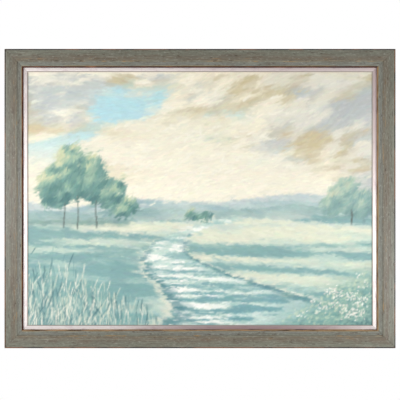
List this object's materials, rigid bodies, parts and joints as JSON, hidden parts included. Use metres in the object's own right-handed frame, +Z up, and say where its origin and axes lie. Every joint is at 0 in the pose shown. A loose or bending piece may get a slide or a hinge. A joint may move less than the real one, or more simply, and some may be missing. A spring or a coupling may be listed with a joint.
{
  "type": "framed painting",
  "caption": "Landscape-format painted canvas on stretcher bars, in a narrow silvered liner and a weathered mitred wooden frame, with keyhole hangers let into its back",
  "frame": {"origin": "middle of the top rail's flat back face, where the picture meets the wall", "axes": "+X runs to the right along the picture's width as seen from the front, +Y points at the wall, out of the back, and +Z is up"},
  "size_m": [1.134, 0.043, 0.868],
  "materials": {
    "frame_wood": "limed grey-green wash over brown wood, rubbed through to orange-gold on the ridges, satin",
    "silver_liner": "silver leaf on gesso over wood, pearly, soft gloss",
    "canvas": "cotton duck with acrylic gesso and thick oil paint, satin",
    "stretcher_wood": "planed pine, bare",
    "zinc_steel": "zinc plated, dull"
  },
  "bodies": {
    "root": {"frame_rail_top": "frame_wood", "frame_rail_bottom": "frame_wood", "frame_rail_left": "frame_wood", "frame_rail_right": "frame_wood", "liner_top": "silver_liner", "liner_bottom": "silver_liner", "liner_left": "silver_liner", "liner_right": "silver_liner", "painted_canvas": "canvas", "stretcher_bar_top": "stretcher_wood", "stretcher_bar_bottom": "stretcher_wood", "stretcher_bar_left": "stretcher_wood", "stretcher_bar_right": "stretcher_wood", "framers_point_top_1": "zinc_steel", "framers_point_top_2": "zinc_steel", "framers_point_top_3": "zinc_steel", "framers_point_right_1": "zinc_steel", "framers_point_right_2": "zinc_steel", "framers_point_bottom_1": "zinc_steel", "framers_point_bottom_2": "zinc_steel", "framers_point_bottom_3": "zinc_steel", "framers_point_left_1": "zinc_steel", "framers_point_left_2": "zinc_steel", "keyhole_hanger_left": "zinc_steel", "hanger_screw_left_outer": "zinc_steel", "hanger_screw_left_inner": "zinc_steel", "keyhole_hanger_right": "zinc_steel", "hanger_screw_right_outer": "zinc_steel", "hanger_screw_right_inner": "zinc_steel"}
  },
  "joints": []
}
